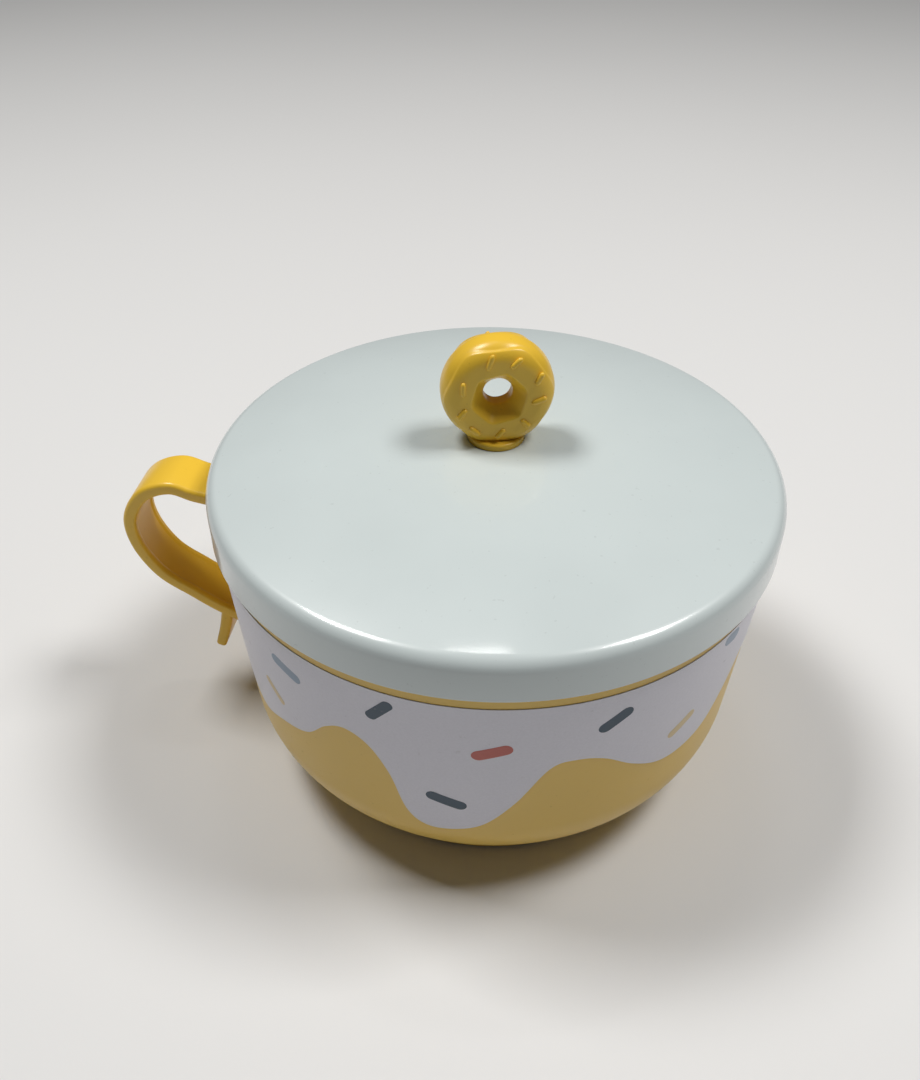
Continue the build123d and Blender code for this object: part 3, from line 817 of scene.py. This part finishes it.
# radius of a soft six-sided outline in a direction
def softHexagon(angle, flat, offset, hardness):
    total = 0.0
    for side in range(6):
        facing = math.cos(angle - math.radians(offset + 30 + side * 60))
        total += max(facing, 0.0) ** hardness
    return flat / total ** (1 / hardness)


# half of the ring's section in a direction, then its mirror image
def knobOutline(angle):
    half = knob["depth"] / 2
    top = half + knob["relief"]
    hole = knob["radius"] - knob["ring"]
    core = knob["radius"] - knob["round"]
    reach = min(softHexagon(angle, knob["icingFlat"], knob["icingTurn"], knob["icingHardness"]),
                knob["radius"] - knob["edgeMargin"])
    mouth = softHexagon(angle, knob["mouthFlat"], knob["mouthTurn"], knob["mouthHardness"])
    over = knob["round"] + knob["relief"]

    def level(radius, size):
        return half - knob["round"] + math.sqrt(size ** 2 - max(radius - core, 0.0) ** 2)

    throat = softened([
        (hole, 0, 0), (hole, top - knob["mouthDepth"], 1.6), (mouth, top, 0.7),
        (core, top, 0)], closed=False, steps=6)
    edge = reach - 0.1
    crest = [(core + (edge - core) * step / 14, level(core + (edge - core) * step / 14, over))
             for step in range(1, 15)]
    foot = reach + 0.12
    crest.append((reach + 0.02, level(edge, over) - 0.16))
    crest.append((foot, level(foot, knob["round"]) + 0.05))
    first = math.acos(min(1.0, (foot + 0.1 - core) / knob["round"]))
    for step in range(9):
        bend = first * (1 - step / 9)
        crest.append((core + knob["round"] * math.cos(bend),
                      half - knob["round"] + knob["round"] * math.sin(bend)))
    crest.append((knob["radius"], 0))
    side = throat + crest
    return side + [(radius, -height) for radius, height in side[-2:0:-1]]


def donutMesh(steps=216):
    rings = []
    for step in range(steps):
        angle = 2 * math.pi * step / steps
        rings.append([(radius * math.cos(angle), radius * math.sin(angle), level)
                      for radius, level in knobOutline(angle)])
    bm = loftRings(rings + [rings[0]], close=False)
    bmesh.ops.remove_doubles(bm, verts=bm.verts, dist=1e-7)
    bmesh.ops.recalc_face_normals(bm, faces=bm.faces)
    return bm


# a rod with round ends, one radius and one half length long
def rodMesh():
    profile = [(0.5 * math.sin(math.pi / 2 * n / 5), -0.5 - 0.5 * math.cos(math.pi / 2 * n / 5))
               for n in range(6)]
    profile += [(radius, -level) for radius, level in profile[::-1]]
    return lathe([(r * 2, z) for r, z in profile], 20)


# small rods set on points, each with its own direction and length
def scatterTree():
    tree, start, end = newTree("rodsOnPoints", [
        ("Rod", "NodeSocketObject"), ("Finish", "NodeSocketMaterial")])
    rod = addNode(tree, "GeometryNodeObjectInfo", links={"Object": start.outputs["Rod"]})
    facing = addNode(tree, "GeometryNodeInputNamedAttribute", {"data_type": "FLOAT_VECTOR"},
                     {"Name": "facing"})
    size = addNode(tree, "GeometryNodeInputNamedAttribute", {"data_type": "FLOAT_VECTOR"},
                   {"Name": "size"})
    turned = addNode(tree, "FunctionNodeEulerToRotation", links={0: facing.outputs[0]})
    placed = addNode(tree, "GeometryNodeInstanceOnPoints", links={
        "Points": start.outputs["Geometry"], "Instance": rod.outputs["Geometry"],
        "Rotation": turned.outputs[0], "Scale": size.outputs[0]})
    whole = addNode(tree, "GeometryNodeRealizeInstances", links={0: placed.outputs[0]})
    painted = addNode(tree, "GeometryNodeSetMaterial", links={
        "Geometry": whole.outputs[0], "Material": start.outputs["Finish"]})
    tree.links.new(painted.outputs[0], end.inputs[0])
    return tree


def knobRods():
    level = knob["depth"] / 2 + knob["relief"] + knob["sprinkleStand"]
    points, facings, sizes = [], [], []
    for right, up, turn, length in knob["sprinkles"]:
        for side in (1, -1):
            points.append((right * mm, up * mm, side * level * mm))
            facings.append((0, math.pi / 2, math.radians(turn)))
            thick = knob["sprinkleRadius"]
            sizes.append((thick, thick, (length + 2 * thick) / 2))
    mesh = bpy.data.meshes.new("rodPoints")
    mesh.from_pydata(points, [], [])
    for name, rows in (("facing", facings), ("size", sizes)):
        attribute = mesh.attributes.new(name, "FLOAT_VECTOR", "POINT")
        attribute.data.foreach_set("vector", [value for row in rows for value in row])
    source = bpy.data.objects.new("rodPoints", mesh)
    rodData = bpy.data.meshes.new("rod")
    bm = rodMesh()
    bm.to_mesh(rodData)
    bm.free()
    rod = bpy.data.objects.new("rod", rodData)
    for made in (source, rod):
        bpy.context.scene.collection.objects.link(made)
    grownMesh = grown(source, scatterTree(), {"Rod": rod, "Finish": yellowKnob})
    bpy.data.objects.remove(rod)
    return grownMesh


knobCentre = knobSeat + knob["discThickness"] - knob["sink"] + knob["radius"]
stand = (Matrix.Translation((0, 0, knobCentre * mm))
         @ Matrix.Rotation(math.radians(knob["turn"] + 90), 4, "Z")
         @ Matrix.Rotation(math.radians(90), 4, "X"))
donutShape = donutMesh()
rods = bmesh.new()
rods.from_mesh(knobRods())
donutShape = joinMeshes(donutShape, rods)
bmesh.ops.transform(donutShape, matrix=stand, verts=donutShape.verts)
washerTop = knobSeat + knob["washerThickness"]
discTop = knobSeat + knob["discThickness"]
for vert in donutShape.verts:
    vert.co.z = max(vert.co.z, (washerTop + 0.05) * mm)  # the ring stays above the washer
disc = lathe(softened([
    (knob["screwHole"], washerTop, 0), (knob["recess"], washerTop, 0),
    (knob["recess"], knobSeat, 0), (knob["discRadius"], knobSeat, 0.25),
    (knob["discRadius"], discTop, 0.5), (knob["screwHole"], discTop, 0)]), 128)
meshPiece("donutKnob", joinMeshes(donutShape, disc), yellowKnob, "lid", "yellow_plastic",
          "donut_knob")
meshPiece("knobWasher", lathe(softened([
    (lid["screwHole"], knobSeat, 0.1), (knob["washerRadius"], knobSeat, 0.1),
    (knob["washerRadius"], washerTop, 0.1), (lid["screwHole"], washerTop, 0.1)]), 96),
    clearSilicone, "lid", "silicone", "knob_seal")
print("knob made")


steelLow, steelHigh = nodeBox("steel_liner")
linerSealLow, linerSealHigh = nodeBox("liner_gasket")
lidSealLow, lidSealHigh = nodeBox("lid_gasket")
liner = {
    "neck": 63.5, "flangeRadius": steelHigh.x, "flange": (linerSealHigh.z, lidSealLow.z),
    "floor": steelLow.z, "steel": 0.6, "round": 18.0, "neckRound": 1.2,
    "bead": 0.55, "beadDrop": 0.3,
}
seals = {"fit": 0.3, "leg": 0.8, "ribFit": 0.05, "groove": 1.2, "grooveDepth": 1.1}


def steelBowl():
    low, high = liner["flange"]
    skin = liner["steel"] / math.cos(math.atan(body["draft"]))

    def wall(height):
        return liner["neck"] - (low - height) * body["draft"]

    floor = liner["floor"]
    beadX = liner["flangeRadius"] - liner["bead"]
    beadZ = high - liner["beadDrop"]
    bead = [(beadX + liner["bead"] * math.cos(math.radians(angle)),
             beadZ + liner["bead"] * math.sin(math.radians(angle)))
            for angle in range(-150, 151, 20)]
    outside = softened([(0, floor, 0), (wall(floor), floor, liner["round"]),
                        (liner["neck"], low, 0.3), (bead[0][0] - 0.3, low, 0)],
                       closed=False, steps=20)
    inside = softened([(bead[-1][0] - 0.3, high, 0), (liner["neck"] - skin, high, liner["neckRound"]),
                       (wall(floor + liner["steel"]) - skin, floor + liner["steel"],
                        liner["round"] - liner["steel"]),
                       (0, floor + liner["steel"], 0)], closed=False, steps=20)
    return lathe(outside + bead + inside)


meshPiece("steelBowl", steelBowl(), linerSteel, "liner", "liner_steel", "steel_liner")
gasketOuter = liner["flangeRadius"] - 2 * liner["bead"] - seals["fit"]
legOuter = liner["neck"] + seals["leg"]
meshPiece("linerSeal", lathe(softened([
    (liner["neck"], linerSealHigh.z, 0.1), (gasketOuter, linerSealHigh.z, 0.2),
    (gasketOuter, body["rimHeight"], 0.2), (legOuter, body["rimHeight"], 0.1),
    (legOuter, linerSealLow.z, 0.3), (liner["neck"], linerSealLow.z, 0.3)])),
    clearSilicone, "liner", "silicone", "liner_gasket")
sealInner = lid["ribOuter"] + seals["ribFit"]
sealMiddle = (sealInner + gasketOuter) / 2
grooveInner = sealMiddle - seals["groove"] / 2
grooveOuter = sealMiddle + seals["groove"] / 2
grooveTop = lidSealLow.z + seals["grooveDepth"]
meshPiece("lidSeal", lathe(softened([
    (sealInner, lidSealLow.z, 0.2), (grooveInner, lidSealLow.z, 0.2),
    (grooveInner, grooveTop, 0.3), (grooveOuter, grooveTop, 0.3),
    (grooveOuter, lidSealLow.z, 0.2), (gasketOuter, lidSealLow.z, 0.2),
    (gasketOuter, lidSealHigh.z, 0.3), (sealInner, lidSealHigh.z, 0.1)])),
    clearSilicone, "lid", "silicone", "lid_gasket")

retainerLow, retainerHigh = nodeBox("cup_retainer")
cup = {
    "radius": footInner - 2.4, "lip": 3.5, "edge": 1.2, "crown": 5.4, "crownRadius": 10.0,
    "bulge": (0.66, 4.6), "hollow": 2.5, "stem": 4.0, "button": 6.5, "buttonHeight": 2.4,
    "buttonFlat": 0.5, "buttonBulge": 0.98, "retainer": retainerHigh.x, "retainerFit": 0.05,
}
neckTop = retainerHigh.z


# from first to last, drawn towards middle
def curvedLine(first, middle, last, steps=16):
    return [tuple((1 - t) ** 2 * Vector(first) + 2 * t * (1 - t) * Vector(middle)
                  + t ** 2 * Vector(last)) for t in [n / steps for n in range(steps + 1)]]


def suctionCup():
    lipInner = cup["radius"] - cup["lip"]
    top = neckTop + cup["buttonHeight"]
    flat = (cup["button"] * cup["buttonFlat"], top)
    outline = [(0, top), flat]
    outline += curvedLine(flat, (cup["button"] * cup["buttonBulge"], top),
                          (cup["button"], neckTop), 8)[1:]
    outline += [(cup["stem"], neckTop), (cup["stem"], cup["crown"]),
                (cup["crownRadius"], cup["crown"])]
    bulgeShare, bulgeHeight = cup["bulge"]
    outline += curvedLine((cup["crownRadius"], cup["crown"]),
                          (cup["radius"] * bulgeShare, bulgeHeight),
                          (cup["radius"], cup["edge"]))[1:]
    outline += [(cup["radius"], 0.0), (lipInner, 0.0)]
    outline += curvedLine((lipInner, 0.0), (lipInner * 0.5, cup["hollow"]),
                          (0, cup["hollow"]))[1:]
    return lathe(outline)


meshPiece("suctionDisc", suctionCup(), clearSilicone, "suction", "silicone", "suction_cup")
ringInner = cup["stem"] + cup["retainerFit"]
meshPiece("stemRing", lathe(softened([
    (ringInner, retainerLow.z, 0.1), (cup["retainer"], retainerLow.z, 0.1),
    (cup["retainer"], neckTop, 0.5), (ringInner, neckTop, 0.1)]), 96),
    whitePlastic, "suction", "white_plastic", "cup_retainer")
# the screws keep their CAD meshes
for nodeName in ("handle_screws", "knob_screw"):
    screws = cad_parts[nodeName]
    screws.data.materials.clear()
    screws.data.materials.append(screwSteel)
print("liner, seals and cup made")


# metres, degrees and watts
studio = {
    "floorSize": 6.0, "worldStrength": 0.06, "worldColour": (0.93, 0.96, 1.0, 1),
    "lampColour": (1.0, 0.985, 0.96), "sensor": 36.0, "cameraPlace": (0.0185, -0.2114, 0.2318),
    "cameraAim": (-0.0986, 0.7703, -0.6299), "cameraRoll": 0.23, "lens": 35.0,
    # place, aim, size, power
    "lights": [((-0.50, 0.12, 1.15), (0, 0, 0.05), (0.36, 0.30), 8.6),
               ((0.56, 0.10, 1.10), (0, 0, 0.05), (0.36, 0.30), 8.2),
               ((-0.06, 0.34, 1.20), (0, 0, 0.05), (0.16, 0.03), 0.40)],
}

floorMesh = bpy.data.meshes.new("studioFloor")
half = studio["floorSize"] / 2
floorMesh.from_pydata([(-half, -half, 0), (half, -half, 0), (half, half, 0), (-half, half, 0)],
                      [], [(0, 1, 2, 3)])
floorMesh.materials.append(paleFloor("paleFloor"))
floor = bpy.data.objects.new("studioFloor", floorMesh)
bpy.context.scene.collection.objects.link(floor)

world = bpy.data.worlds.new("studioWorld")
world.use_nodes = True
background = world.node_tree.nodes["Background"]
background.inputs[0].default_value = studio["worldColour"]
background.inputs[1].default_value = studio["worldStrength"]
bpy.context.scene.world = world


def aimed(direction):
    return Vector(direction).to_track_quat("-Z", "Y")


for number, (place, target, size, power) in enumerate(studio["lights"]):
    data = bpy.data.lights.new("softBox%d" % number, "AREA")
    data.shape = "RECTANGLE"
    data.size, data.size_y = size
    data.energy = power
    data.color = studio["lampColour"]
    light = bpy.data.objects.new("softBox%d" % number, data)
    bpy.context.scene.collection.objects.link(light)
    light.location = place
    light.rotation_mode = "QUATERNION"
    light.rotation_quaternion = aimed(Vector(target) - Vector(place))

cameraData = bpy.data.cameras.new("studioCamera")
cameraData.lens = studio["lens"]
cameraData.sensor_width = studio["sensor"]
cameraData.clip_start = 0.01
camera = bpy.data.objects.new("studioCamera", cameraData)
bpy.context.scene.collection.objects.link(camera)
camera.location = studio["cameraPlace"]
camera.rotation_mode = "QUATERNION"
roll = Matrix.Rotation(math.radians(studio["cameraRoll"]), 4, "Z").to_quaternion()
camera.rotation_quaternion = aimed(studio["cameraAim"]) @ roll
bpy.context.scene.camera = camera
bpy.context.scene.view_settings.view_transform = "Standard"
print("studio set")
